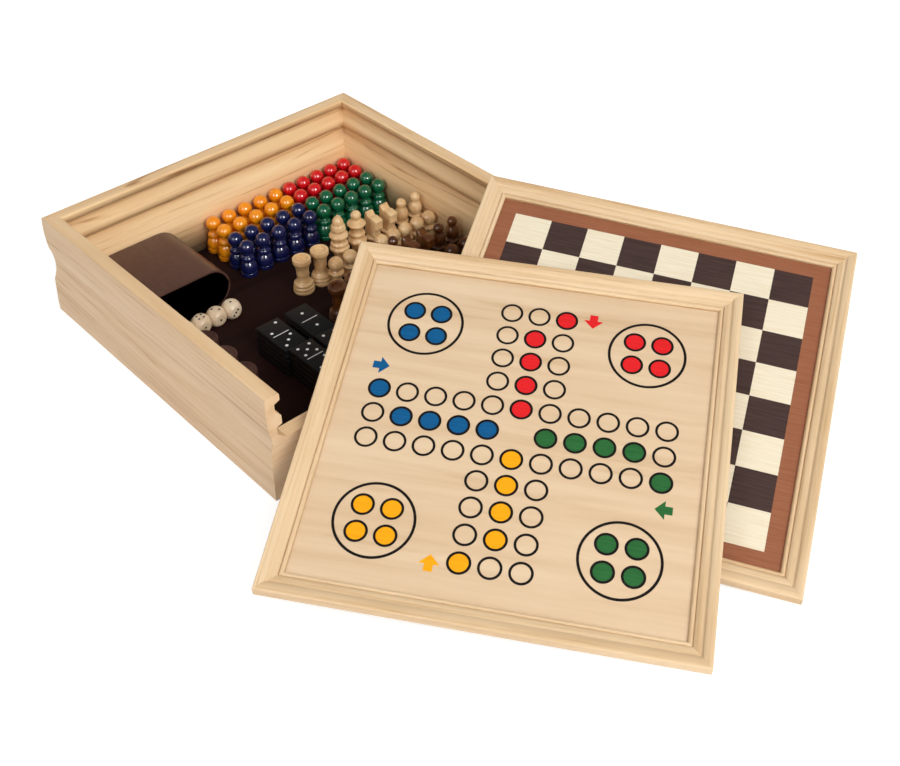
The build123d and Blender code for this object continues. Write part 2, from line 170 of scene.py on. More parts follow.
def inkMaterial(name, colour, shade):
    # screen-printed ink on ply: the wood's fibres still show faintly through it
    material, tree, shader = startMaterial(name, {"Roughness": 0.5, "Specular IOR Level": 0.2})
    fibres = addNode(tree, "ShaderNodeTexNoise", {"Vector": grainVector(tree, "inkedFibre"), "Scale": 1.0,
                                                  "Detail": 4.0, "Roughness": 0.65})
    mix = addNode(tree, "ShaderNodeValToRGB", {"Fac": fibres.outputs["Fac"]},
                  stops=[(0.35, shade), (0.6, colour)])
    tree.links.new(mix.outputs["Color"], shader.inputs["Base Color"])
    addBump(tree, shader, fibres.outputs["Fac"], 0.15, 0.05 * mm)
    return material


def lacquerMaterial(name, colour, shade, coat=1.0, roughness=0.28):
    # dipped lacquer on turned wood: deep even colour under a thick clear gloss that pools a little
    material, tree, shader = startMaterial(name, {
        "Roughness": roughness, "IOR": woodIor, "Coat Weight": coat, "Coat Roughness": 0.06,
    })
    pools = addNode(tree, "ShaderNodeTexNoise", {"Vector": grainVector(tree, "pool"), "Scale": 1.0,
                                                 "Detail": 2.0})
    mix = addNode(tree, "ShaderNodeValToRGB", {"Fac": pools.outputs["Fac"]},
                  stops=[(0.3, shade), (0.7, colour)])
    tree.links.new(mix.outputs["Color"], shader.inputs["Base Color"])
    addBump(tree, shader, pools.outputs["Fac"], 0.04, 0.2 * mm)
    return material


# Finishes; each is what the real piece is made of. Ring widths and wander are in millimetres

finishes = {
    "boxPine": {  # planed and moulded pine, only sealed: yellow inside, paler and pinker on the outer faces; this difference is painted light, standing in for the warm light bounced between the inner walls
        "stops": [(0.34, "#F7D6A6"), (0.56, "#EEC896"), (0.78, "#E0B683"), (1.0, "#B98A59")],
        "outside": "#E6E9F8",  # painted light: a cooler tone multiplied over the outer faces' wood, in place of the warm bounced light that only the inner faces get
        "ringWidth": 6.5, "wander": 40.0, "lineDepth": 0.34, "fibreDepth": 0.12,
        "roughness": 0.6, "shine": 0.35, "coat": 0.05, "coatRoughness": 0.4, "bump": 0.2,
    },
    "framePine": {  # narrow pine moulding, paler and straighter in the grain than the box
        "stops": [(0.34, "#E8CCA4"), (0.56, "#DDBE95"), (0.78, "#CAA577"), (1.0, "#A67C4A")],
        "ringWidth": 6.5, "wander": 20.0, "lineDepth": 0.2, "fibreDepth": 0.12,
        "roughness": 0.5, "shine": 0.4, "coat": 0.1, "coatRoughness": 0.35, "bump": 0.15,
    },
    "birchPly": {  # rotary-cut birch face of plywood: cream, with a broad faint figure
        "stops": [(0.34, "#DFC5A3"), (0.60, "#D6B996"), (0.85, "#C9A983"), (1.0, "#B69268")],
        "ringWidth": 34.0, "wander": 90.0, "lineDepth": 0.16, "fibreDepth": 0.08,
        "roughness": 0.5, "shine": 0.2, "coat": 0.1, "coatRoughness": 0.35, "bump": 0.08,
    },
    "stainedPly": {  # ply stained almost black-brown: the floor of the box
        "stops": [(0.34, "#2B1510"), (0.60, "#25110E"), (0.85, "#1E0E0B"), (1.0, "#180A08")],
        "ringWidth": 14.0, "wander": 40.0, "lineDepth": 0.1, "fibreDepth": 0.1,
        "roughness": 0.75, "shine": 0.12, "coat": 0.0, "coatRoughness": 0.3, "bump": 0.15,
    },
    "clearBeech": {  # turned beech under clear lacquer: warm tan with fine flecks along the axis
        "stops": [(0.32, "#F1D2A2"), (0.56, "#E2BC88"), (0.80, "#CC9E6A"), (1.0, "#AA7C4B")],
        "ringWidth": 2.6, "wander": 6.0, "lineDepth": 0.2, "fibreDepth": 0.16,
        "roughness": 0.4, "shine": 0.4, "coat": 0.45, "coatRoughness": 0.14, "bump": 0.08,
    },
    "darkBeech": {  # the same turnings stained amber-brown under gloss lacquer
        "stops": [(0.32, "#84501F"), (0.56, "#643612"), (0.80, "#48240D"), (1.0, "#2E1508")],
        "ringWidth": 2.6, "wander": 6.0, "lineDepth": 0.25, "fibreDepth": 0.16,
        "roughness": 0.3, "shine": 0.5, "coat": 1.0, "coatRoughness": 0.07, "bump": 0.08,
    },
    "dieBeech": {  # small sanded beech cubes, waxed
        "stops": [(0.32, "#EFDABD"), (0.60, "#E4CAA9"), (0.85, "#D2B28B"), (1.0, "#B99368")],
        "ringWidth": 2.2, "wander": 5.0, "lineDepth": 0.12, "fibreDepth": 0.14,
        "roughness": 0.42, "shine": 0.4, "coat": 0.25, "coatRoughness": 0.2, "bump": 0.08,
    },
    "stainedDisc": {  # draughts turned from beech and stained red-brown
        "stops": [(0.32, "#5E3E34"), (0.58, "#4C2E27"), (0.82, "#3A211C"), (1.0, "#2A1612")],
        "ringWidth": 2.6, "wander": 8.0, "lineDepth": 0.3, "fibreDepth": 0.2,
        "roughness": 0.4, "shine": 0.4, "coat": 0.3, "coatRoughness": 0.2, "bump": 0.08,
    },
}
woods = {name: woodMaterial(name, wood) for name, wood in finishes.items()}
inks = {
    "ring": inkMaterial("printedBlackInk", "#1C1411", "#140E0C"),
    "yellow": inkMaterial("printedYellowInk", "#F5A800", "#EC9C00"),
    "red": inkMaterial("printedRedInk", "#E11E22", "#D4181C"),
    "blue": inkMaterial("printedBlueInk", "#005A8E", "#005082"),
    "green": inkMaterial("printedGreenInk", "#2A6B35", "#235E2D"),
    "squareDark": inkMaterial("printedDarkSquares", "#4A3733", "#3E2D29"),
    "squareLight": inkMaterial("printedLightSquares", "#E9DEC6", "#E1D2B4"),
    "border": inkMaterial("printedTerracottaBorder", "#9A6144", "#8E573B"),
}
lacquers = {
    "orange": lacquerMaterial("orangeLacquer", "#FA9C10", "#F08C06"),
    "red": lacquerMaterial("redLacquer", "#DA0A18", "#C80814"),
    "green": lacquerMaterial("greenLacquer", "#006440", "#005838"),
    "blue": lacquerMaterial("navyLacquer", "#101A52", "#0C1444"),
}
# sprayed and dabbed paint: thinner and duller than the dipped lacquer
dominoPaint = lacquerMaterial("blackDominoPaint", "#141518", "#0F1012", coat=0.15, roughness=0.5)
pipPaint = lacquerMaterial("whitePipPaint", "#F2F2EE", "#E6E6E0", coat=0.2, roughness=0.4)
diePipPaint = lacquerMaterial("blackPipPaint", "#15110F", "#0E0B0A", coat=0.3, roughness=0.35)
print("materials made:", len(bpy.data.materials))


# Mesh helpers

def addPiece(name, bm, material, body, replaced=(), sharpAngle=38):
    mesh = bpy.data.meshes.new(name)
    for face in bm.faces:
        face.smooth = True
    bm.to_mesh(mesh)
    bm.free()
    mesh.set_sharp_from_angle(angle=radians(sharpAngle))
    piece = bpy.data.objects.new(name, mesh)
    bpy.context.scene.collection.objects.link(piece)
    piece.data.materials.append(material)
    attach(piece, body)
    if replaced:
        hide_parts(*replaced)


def writeGrain(bm, toGrain, shift=Vector()):
    # each point's grain coordinates: its place in a frame whose X runs along the grain
    layer = bm.verts.layers.float_vector.get("grain") or bm.verts.layers.float_vector.new("grain")
    for vert in bm.verts:
        vert[layer] = toGrain @ vert.co + shift


def writeFaces(bm, name, value):
    # a number on each face, which the wood reads: whether it is end grain, or how much of the painted outer
    # light it takes
    bm.normal_update()
    layer = bm.faces.layers.float.new(name)
    for face in bm.faces:
        face[layer] = value(face)


def grainFrame(along, across):
    # turns the part's directions into grain directions
    along = Vector(along).normalized()
    depth = along.cross(Vector(across)).normalized()
    return Matrix((along, depth.cross(along), depth)).to_4x4()


def mergedCopy(nodeName, flatWithin=0.5):
    # a CAD node's mesh with its loose triangles joined, and those flat within half a degree made one face
    bm = bmesh.new()
    bm.from_mesh(nodes[nodeName].data)
    bmesh.ops.remove_doubles(bm, verts=bm.verts, dist=samePoint)
    bmesh.ops.dissolve_limit(bm, angle_limit=radians(flatWithin), verts=bm.verts, edges=bm.edges)
    return bm


def solidBoxes(nodeName):
    # the lowest and highest corner of each separate solid in a CAD node
    bm = bmesh.new()
    bm.from_mesh(nodes[nodeName].data)
    bmesh.ops.remove_doubles(bm, verts=bm.verts, dist=samePoint)
    left = set(bm.verts)
    boxes = []
    while left:
        island = [left.pop()]
        for vert in island:
            linked = [edge.other_vert(vert) for edge in vert.link_edges]
            fresh = [other for other in linked if other in left]
            left.difference_update(fresh)
            island.extend(fresh)
        low = Vector([min(vert.co[i] for vert in island) for i in range(3)])
        high = Vector([max(vert.co[i] for vert in island) for i in range(3)])
        boxes.append((low, high))
    bm.free()
    return sorted(boxes, key=lambda corners: [round(value, 4) for value in corners[0].zxy])


def roundStretch(start, end, bulge, steps):
    # points of an arc from start to end; bulge is its rise over its length, to the right of the way it goes
    chord = end - start
    rise = bulge * chord.length
    bend = (chord.length_squared / 4 + rise * rise) / (2 * rise)
    right = Vector((chord.y, -chord.x)).normalized()
    centre = (start + end) / 2 + right * (rise - bend)
    turn = 4 * atan(2 * bulge)
    return [centre + Matrix.Rotation(turn * i / steps, 2) @ (start - centre) for i in range(1, steps + 1)]


def tracedProfile(points, arcSteps):
    # a profile in radius and height: a point with a third value is reached by a round stretch of that bulge
    traced = [Vector(points[0])]
    for point in points[1:]:
        end = Vector(point[:2])
        if len(point) == 3:
            traced += roundStretch(traced[-1], end, point[2], arcSteps)
        else:
            traced.append(end)
    return traced


def ball(neck, radius, top):
    # a ball from where it leaves its neck to its top
    turn = pi / 2 + acos(neck / radius)
    return [(neck, top - radius - sqrt(radius * radius - neck * neck)), (0, top, tan(turn / 4) / 2)]


def turnedPiece(points, steps, arcSteps=7):
    # spins a profile, given in millimetres, about Z
    bm = bmesh.new()
    verts = [bm.verts.new((point.x * mm, 0, point.y * mm)) for point in tracedProfile(points, arcSteps)]
    edges = [bm.edges.new(pair) for pair in zip(verts, verts[1:])]
    bmesh.ops.spin(bm, geom=verts + edges, cent=(0, 0, 0), axis=(0, 0, 1), angle=2 * pi, steps=steps,
                   use_merge=True)
    bmesh.ops.remove_doubles(bm, verts=bm.verts, dist=2 * samePoint)
    bmesh.ops.recalc_face_normals(bm, faces=bm.faces)
    return bm


def setOut(unit, places, seed, upright=True):
    # one mesh with a copy of the unit at each place, each with its own stretch of grain
    draw = random.Random(seed)
    mesh = bpy.data.meshes.new("unit")
    unit.to_mesh(mesh)
    unit.free()
    toGrain = grainFrame((0, 0, 1), (1, 0, 0)) if upright else grainFrame((0, 1, 0), (1, 0, 0))
    bm = bmesh.new()
    layer = bm.verts.layers.float_vector.new("grain")
    for place in places:
        first = len(bm.verts)
        shift = Vector([draw.uniform(0, 1) for axis in range(3)])
        bm.from_mesh(mesh)
        bm.verts.ensure_lookup_table()
        fresh = bm.verts[first:]
        for vert in fresh:
            vert[layer] = toGrain @ vert.co + shift
        bmesh.ops.transform(bm, matrix=place, verts=fresh)
    bpy.data.meshes.remove(mesh)
    return bm


def standingPlaces(nodeName):
    # the foot centre of each solid of a node
    places = []
    for low, high in solidBoxes(nodeName):
        places.append(Matrix.Translation(((low.x + high.x) / 2, (low.y + high.y) / 2, low.z)))
    return places


def raiseFaces(bm, faces, thickness):
    # gives flat faces on Z = 0 a thickness in millimetres
    raised = bmesh.ops.extrude_face_region(bm, geom=faces)
    verts = [item for item in raised["geom"] if isinstance(item, bmesh.types.BMVert)]
    bmesh.ops.translate(bm, verts=verts, vec=(0, 0, thickness * mm))


def plate(bm, points, thickness):
    # a thin flat plate on Z = 0 from its outline in millimetres
    face = bm.faces.new([bm.verts.new((x * mm, y * mm, 0)) for x, y in points])
    raiseFaces(bm, [face], thickness)


def printedDisc(bm, x, y, radius, thickness, hollow=0.0, segments=56):
    # a printed spot, or a ring where hollow gives its line width, all in millimetres
    made = bmesh.ops.create_circle(bm, cap_ends=True, segments=segments, radius=radius * mm,
                                   matrix=Matrix.Translation((x * mm, y * mm, 0)))
    faces = list({face for vert in made["verts"] for face in vert.link_faces})
    if hollow:
        ring = bmesh.ops.inset_region(bm, faces=faces, thickness=hollow * mm, use_boundary=True,
                                      use_even_offset=True)["faces"]
        bmesh.ops.delete(bm, geom=faces, context="FACES_ONLY")
        faces = ring
    raiseFaces(bm, faces, thickness)


# The box: moulded walls and a dark floor

box = {
    "grainAlong": {"wall_back": (1, 0, 0), "wall_front": (1, 0, 0), "wall_left": (0, 1, 0),
                   "wall_right": (0, 1, 0)},
    "grainShift": (0.7, 0.031, 0.4),  # metres from one wall's stretch of grain to the next
    "facing": 0.9,  # a face points a way if its normal has this much of it
    "outward": 0.02,  # a face is an outer one this many metres out from the middle
    "topEdgeLightShare": 0.4,  # the top edges' share of the painted outer light
}


def outsideShare(face):
    # painted light: the outer faces have the cooler outer tone, the top edges are between the two, and the
    # inner faces keep the warmer tone of bounced light
    if face.normal.z > box["facing"]:
        return box["topEdgeLightShare"]
    return 1.0 if face.normal.xy.dot(face.calc_center_median().xy) > box["outward"] else 0.0


for i, (name, along) in enumerate(box["grainAlong"].items()):
    bm = mergedCopy(name)
    ends = Vector(along)
    writeFaces(bm, "endGrain", lambda face: 1.0 if abs(face.normal.dot(ends)) > box["facing"] else 0.0)
    writeFaces(bm, "outside", outsideShare)
    writeGrain(bm, grainFrame(along, (0, 0, 1)), i * Vector(box["grainShift"]))
    addPiece(name + "_moulding", bm, woods["boxPine"], "box", [name])
bm = mergedCopy("base_panel")
writeGrain(bm, grainFrame((1, 0, 0), (0, 1, 0)))
addPiece("stained_floor", bm, woods["stainedPly"], "box", ["base_panel"])
print("box dressed")


# The boards

boards = {  # steps in metres from one stretch of grain to the next
    "gameShift": (0.37, 0, 0.2),
    "railShift": (0.9, 0.05, 0),
    "panelShift": (0.3, 0.11, 0),
}
railTurns = {"near": 0, "right": 1, "far": 2, "left": 3}  # quarter turns from the near rail


def boardPlace(panelName):
    # the panel's own frame: origin at the middle of its top face, X to the lower right, Y up the slope
    mesh = nodes[panelName].data
    largest = max(mesh.polygons, key=lambda face: (round(face.area, 7), face.normal.z))
    normal = largest.normal if largest.normal.z > 0 else -largest.normal
    reach = max(normal.dot(vert.co) for vert in mesh.vertices)
    top = {tuple(round(value, 6) for value in vert.co) for vert in mesh.vertices
           if reach - normal.dot(vert.co) < 10 * samePoint}
    corners = sorted((Vector(corner) for corner in top), key=lambda corner: corner.z)
    lowerRight, upperLeft = corners[0], corners[-1]
    lowerLeft = min(corners[1:-1], key=lambda corner: corner.x)
    along = (lowerRight - lowerLeft).normalized()
    up = (upperLeft - lowerLeft).normalized()
    place = Matrix((along, up, along.cross(up))).transposed().to_4x4()
    place.translation = sum(corners, Vector()) / len(corners)
    return place


for number, game in enumerate(("ludo", "chess")):
    toBoard = boardPlace(game + "_panel").inverted()
    body = game + "_board"
    for side, turn in railTurns.items():
        bm = mergedCopy(game + "_rail_" + side)
        toRail = Matrix.Rotation(-turn * pi / 2, 4, "Z") @ toBoard
        writeGrain(bm, toRail, number * Vector(boards["gameShift"]) + turn * Vector(boards["railShift"]))
        addPiece(f"{game}_frame_{side}", bm, woods["framePine"], body, [f"{game}_rail_{side}"])
    bm = mergedCopy(game + "_panel")
    writeGrain(bm, toBoard, number * Vector(boards["panelShift"]))
    addPiece(game + "_ply", bm, woods["birchPly"], body, [game + "_panel"])
print("boards dressed")


# The prints on the boards, in millimetres

prints = {
    "lift": 0.01,  # clear of the ply, so that the two faces don't flicker
    "ink": 0.03,
    "overInk": 0.06,  # the black lines lie over the colours
}


def addPrint(name, bm, material, place, body):
    bmesh.ops.recalc_face_normals(bm, faces=bm.faces)
    writeGrain(bm, grainFrame((1, 0, 0), (0, 1, 0)))
    bmesh.ops.translate(bm, verts=bm.verts, vec=(0, 0, prints["lift"] * mm))
    bmesh.ops.transform(bm, matrix=place, verts=bm.verts)
    addPiece(name, bm, material, body, sharpAngle=25)


ludo = {
    "pitch": 19.8,  # between the middles of the printed spots
    "arm": 5,  # spots from the middle to the end of an arm
    "spot": 8.0,  # outer radius of a spot
    "line": 1.75,  # width of the line round a spot
    "house": 27.4,  # outer radius of a corner ring, 4 pitches out each way
    "houseLine": 1.9,
    "houseSpot": 7.9,
    "houseSpacing": 9.7,
    "arrowTail": -5.9,  # along the arrow from its middle
    "arrowShoulder": -0.9,
    "arrowTip": 5.9,
    "arrowShaft": 5.8,  # full widths
    "arrowHead": 13.8,
}
# places in pitches from the middle
starts = {"red": (1, 5), "blue": (-5, 1), "green": (5, -1), "yellow": (-1, -5)}
lanes = {"red": (0, 1), "blue": (-1, 0), "green": (1, 0), "yellow": (0, -1)}
houses = {"blue": (-4, 4), "red": (4, 4), "yellow": (-4, -4), "green": (4, -4)}
arrowPlaces = {  # with the turn from pointing up the board, in degrees
    "red": (1.95, 5.11, 180),
    "blue": (-5.15, 1.95, -90),
    "green": (5.18, -1.98, 90),
    "yellow": (-1.93, -5.16, 0),
}
ludoPlace = boardPlace("ludo_panel")
rings = bmesh.new()
spots = {colour: bmesh.new() for colour in starts}
inkedLine = 0.5 * ludo["line"]  # the colour reaches under the middle of the black line
steps = range(-ludo["arm"], ludo["arm"] + 1)
cells = [(x, y) for x in steps for y in steps if min(abs(x), abs(y)) < 2 and (x, y) != (0, 0)]
for cell in cells:
    x, y = cell[0] * ludo["pitch"], cell[1] * ludo["pitch"]
    printedDisc(rings, x, y, ludo["spot"], prints["overInk"], ludo["line"])
    for colour, bm in spots.items():
        lane = [(lanes[colour][0] * step, lanes[colour][1] * step) for step in range(1, ludo["arm"])]
        if cell == starts[colour] or cell in lane:
            printedDisc(bm, x, y, ludo["spot"] - inkedLine, prints["ink"])
for colour, (x, y) in houses.items():
    x, y = x * ludo["pitch"], y * ludo["pitch"]
    printedDisc(rings, x, y, ludo["house"], prints["overInk"], ludo["houseLine"], segments=96)
    for stepX in (-1, 1):
        for stepY in (-1, 1):
            spotX, spotY = x + stepX * ludo["houseSpacing"], y + stepY * ludo["houseSpacing"]
            printedDisc(rings, spotX, spotY, ludo["houseSpot"], prints["overInk"], ludo["line"])
            printedDisc(spots[colour], spotX, spotY, ludo["houseSpot"] - inkedLine, prints["ink"])
tail, shoulder, tip = ludo["arrowTail"], ludo["arrowShoulder"], ludo["arrowTip"]
shaft, head = ludo["arrowShaft"] / 2, ludo["arrowHead"] / 2
for colour, (x, y, turn) in arrowPlaces.items():
    arrow = [(-shaft, tail), (shaft, tail), (shaft, shoulder), (head, shoulder), (0, tip), (-head, shoulder),
             (-shaft, shoulder)]
    turned = [Matrix.Rotation(radians(turn), 2) @ Vector(point) for point in arrow]
    plate(spots[colour], [(x * ludo["pitch"] + p.x, y * ludo["pitch"] + p.y) for p in turned], prints["ink"])
addPrint("ludo_print_rings", rings, inks["ring"], ludoPlace, "ludo_board")
for colour, bm in spots.items():
    addPrint("ludo_print_" + colour, bm, inks[colour], ludoPlace, "ludo_board")

chess = {
    "square": 28.4,
    "border": 125.5,  # from the middle to the border's outer edge
}
chessPlace = boardPlace("chess_panel")
squares = {"squareLight": bmesh.new(), "squareDark": bmesh.new()}
square = chess["square"]
for column in range(8):
    for row in range(8):
        x, y = (column - 4) * square, (3 - row) * square
        corners = [(x, y), (x + square, y), (x + square, y + square), (x, y + square)]
        plate(squares["squareLight" if (column + row) % 2 == 0 else "squareDark"], corners, prints["ink"])
for shade, bm in squares.items():
    addPrint("chess_print_" + shade, bm, inks[shade], chessPlace, "chess_board")
border = bmesh.new()
inner, outer = 4 * square, chess["border"]
for turn in range(4):
    band = [(-outer, -outer), (outer, -outer), (inner, -inner), (-inner, -inner)]
    spun = [Matrix.Rotation(turn * pi / 2, 2) @ Vector(point) for point in band]
    plate(border, [(p.x, p.y) for p in spun], prints["ink"])
bmesh.ops.remove_doubles(border, verts=border.verts, dist=samePoint)
addPrint("chess_print_border", border, inks["border"], chessPlace, "chess_board")
print("prints laid on the boards")


# Halma pins

pin = {"height": 33.0, "ball": 6.4, "foot": 7.4, "neck": 3.6}
foot = pin["foot"]
pinProfile = [
    (0, 0), (foot - 0.5, 0), (foot, 0.5, 0.2), (foot, 3.0), (foot - 0.6, 3.8, 0.15),
    (4.7, 13.4, 0.13), (4.2, 19.0, 0.23), (pin["neck"], 19.6, -0.1),
] + ball(pin["neck"], pin["ball"], pin["height"])
for colour in ("orange", "red", "blue", "green"):
    name = "pins_" + colour
    bm = setOut(turnedPiece(pinProfile, steps=24, arcSteps=6), standingPlaces(name), "pins" + colour)
    addPiece("halma_" + name, bm, lacquers[colour], "halma_pins_" + colour, [name])
print("halma pins turned")


# Chessmen

men = {
    "rook": {"node": "rooks", "height": 32.5, "radius": 8.9},
    "king": {"node": "king", "height": 56.5, "radius": 9.2},
    "queen": {"node": "queen", "height": 52.0, "radius": 9.2},
    "knight": {"node": "knights", "height": 42.5, "radius": 7.4, "width": 8.0, "edge": 1.0},
    "bishop": {"node": "bishops", "height": 42.5, "radius": 7.4},
    "pawn": {"node": "pawns", "height": 30.0, "radius": 6.3},
}


def stepFoot(radius, waist, waistHeight):
    # the turned foot that the tall men share: a drum, two rolled rings and a long sweep up to the waist
    return [
        (0, 0), (radius - 0.6, 0), (radius - 0.2, 0.6, 0.2), (radius - 0.2, 2.6, 0.12),
        (radius - 0.6, 3.0, 0.15), (radius - 0.8, 3.2), (radius - 0.8, 6.0, 0.22), (radius - 1.2, 6.3),
        (radius - 2.0, 9.4, 0.24), (radius - 2.5, 9.8), (waist, waistHeight, -0.12),
    ]


def rookProfile(man):
    top = man["height"]
    return stepFoot(man["radius"], 5.4, 17.0) + [
        (7.2, top - 5.0, -0.08), (7.7, top - 3.6, 0.1), (7.7, top - 0.8), (6.9, top, 0.2), (5.6, top),
        (5.0, top - 0.6, 0.2), (4.6, top - 2.4), (0, top - 2.8),
    ]


def kingProfile(man):
    top = man["height"]
    return stepFoot(man["radius"], 5.4, 18.5) + [
        (6.9, 22.6, -0.1), (7.5, 26.4, 0.3), (6.5, 27.2), (6.5, 30.8, 0.25), (6.0, 31.6), (7.3, 35.2, -0.1),
        (7.3, 38.6, 0.25), (5.4, 40.4), (5.4, 41.4), (6.1, 44.4, 0.2), (4.8, 47.8, 0.1),
        (1.4, top - 1.4, 0.13), (0, top, 0.2),
    ]


def queenProfile(man):
    top = man["height"]
    return stepFoot(man["radius"], 5.4, 18.0) + [
        (6.9, 21.6, -0.1), (7.4, 25.6, 0.3), (6.2, 27.0), (6.1, 28.6), (6.1, 32.0, 0.28), (5.6, 32.8),
        (7.5, 38.6, -0.12), (7.5, 40.8, 0.25), (3.4, top - 7.9, -0.05),
    ] + ball(3.4, 4.4, top)


def bishopProfile(man):
    top = man["height"]
    return stepFoot(man["radius"], 4.2, 16.0) + [
        (5.6, 19.4, -0.1), (5.6, 21.2, 0.3), (4.0, 22.0), (3.6, top - 8.5, 0.18),
    ] + ball(3.5, 4.5, top)


def pawnProfile(man):
    top = man["height"]
    radius = man["radius"]
    return [
        (0, 0), (radius - 0.6, 0), (radius - 0.2, 0.6, 0.2), (radius - 0.2, 3.0, 0.12), (radius - 0.8, 3.5),
        (radius - 1.1, 6.4, 0.2), (3.9, 12.2, -0.1), (5.9, 14.6, -0.1), (5.9, 16.6, 0.28), (4.0, top - 12.9),
    ] + ball(3.2, 6.3, top)


def knightPiece(man):
    # a turned foot under a flat-sided horse's head, its nose to the front
    top = man["height"]
    collar = [(6.4, 18.4, -0.1), (6.4, 20.4, 0.3), (5.6, 21.0), (0, 21.0)]
    bm = turnedPiece(stepFoot(man["radius"], 5.6, 15.0) + collar, steps=28)
    side = [
        (-5.8, 19.6), (-7.0, top - 13.0, 0.18), (-8.4, top - 12.0), (-8.8, top - 4.8, 0.03),
        (-7.6, top - 3.6), (-1.0, top - 2.6), (1.2, top - 3.6), (4.2, top - 0.2, 0.05), (5.6, top),
        (6.8, top - 1.2), (7.0, 28.0, -0.04), (6.2, 19.6, -0.08),
    ]
    outline = tracedProfile(side, arcSteps=5)
    verts = [bm.verts.new((-man["width"] / 2 * mm, point.x * mm, point.y * mm)) for point in outline]
    face = bm.faces.new(verts)
    raised = bmesh.ops.extrude_face_region(bm, geom=[face])
    moved = [item for item in raised["geom"] if isinstance(item, bmesh.types.BMVert)]
    bmesh.ops.translate(bm, verts=moved, vec=(man["width"] * mm, 0, 0))
    head = set(verts + moved)
    edges = [edge for edge in bm.edges if set(edge.verts) <= head
             and abs(edge.verts[0].co.x - edge.verts[1].co.x) < 0.1 * mm]  # those round the flat sides
    bmesh.ops.bevel(bm, geom=edges, offset=man["edge"] * mm, affect="EDGES", segments=3, profile=0.5,
                    material=-1)
    bmesh.ops.recalc_face_normals(bm, faces=bm.faces)
    return bm


profiles = {"rook": rookProfile, "king": kingProfile, "queen": queenProfile, "bishop": bishopProfile,
            "pawn": pawnProfile}
for army, finish in (("light", "clearBeech"), ("dark", "darkBeech")):
    for man, sizes in men.items():
        name = f"{army}_{sizes['node']}"
        unit = knightPiece(sizes) if man == "knight" else turnedPiece(profiles[man](sizes), steps=32)
        bm = setOut(unit, standingPlaces(name), name)
        addPiece(name + "_turned", bm, woods[finish], army + "_chessmen", [name])
print("chessmen turned")


# Dominoes, with the pips and bar of each stack's top tile

domino = {"edge": 0.55, "pip": 1.25, "pipStepX": 5.2, "pipStepY": 4.9, "bar": 0.7, "barLength": 14.4,
          "paint": 0.05}
pipSides = 20
pipSpots = {
    0: [], 1: [(0, 0)], 2: [(-1, 1), (1, -1)], 3: [(-1, 1), (0, 0), (1, -1)],
    4: [(-1, 1), (1, 1), (-1, -1), (1, -1)], 5: [(-1, 1), (1, 1), (0, 0), (-1, -1), (1, -1)],
    6: [(-1, 1), (1, 1), (-1, 0), (1, 0), (-1, -1), (1, -1)],
}
topTiles = {  # pips on the back and front half
    "domino_stack_1": (2, 3), "domino_stack_2": (5, 2), "domino_stack_3": (1, 1),
    "domino_stack_4": (4, 3), "domino_stack_5": (6, 1), "domino_stack_6": (0, 5),
}
for name, (back, front) in topTiles.items():
    tiles = solidBoxes(name)
    low, high = tiles[0]
    size = high - low
    unit = bmesh.new()
    bmesh.ops.create_cube(unit, size=1, matrix=Matrix.Diagonal(size).to_4x4())
    bmesh.ops.bevel(unit, geom=unit.edges[:], offset=domino["edge"] * mm, affect="EDGES", segments=3,
                    profile=0.5, material=-1)
    places = [Matrix.Translation((low + high) / 2) for low, high in tiles]
    bm = setOut(unit, places, name, upright=False)
    body = "dominoes_open" if name[-1] in "123" else "dominoes_under_board"
    addPiece(name + "_tiles", bm, dominoPaint, body, [name])
    low, high = tiles[-1]
    centre = (low + high) / 2
    pips = bmesh.new()
    for value, side in ((back, 1), (front, -1)):
        middle = side * size.y / 4 / mm
        for x, y in pipSpots[value]:
            printedDisc(pips, -x * domino["pipStepX"], middle + y * domino["pipStepY"], domino["pip"],
                        domino["paint"], segments=pipSides)
    bar, barHalf = domino["bar"] / 2, domino["barLength"] / 2
    plate(pips, [(-barHalf, -bar), (barHalf, -bar), (barHalf, bar), (-barHalf, bar)], domino["paint"])
    writeGrain(pips, Matrix.Identity(4))
    bmesh.ops.translate(pips, verts=pips.verts, vec=(centre.x, centre.y, high.z + prints["lift"] * mm))
    bmesh.ops.recalc_face_normals(pips, faces=pips.faces)
    addPiece(name + "_pips", pips, pipPaint, body)
print("dominoes set out")


# Draughts

draught = {
    "radius": 11.5,
    "thickness": 4.0,
    "turn": 1.3,  # radians from one disc's figure to the next
}
rim, thick = draught["radius"], draught["thickness"]
discProfile = [
    (0, 0), (rim - 0.6, 0), (rim, 0.6, 0.2), (rim, thick - 0.6), (rim - 0.6, thick, 0.2), (rim - 2.2, thick),
    (rim - 3.4, thick, -0.35), (rim - 6.0, thick), (rim - 6.8, thick - 0.5), (0, thick - 0.5),
]
for shade, finish in (("dark", "stainedDisc"), ("light", "clearBeech")):
    name = "draughts_" + shade
    places = [place @ Matrix.Rotation(draught["turn"] * i, 4, "Z")
              for i, place in enumerate(standingPlaces(name))]
    bm = setOut(turnedPiece(discProfile, steps=40, arcSteps=4), places, name, upright=False)
    addPiece(name + "_discs", bm, woods[finish], shade + "_draughts", [name])
print("draughts stacked")


# Dice

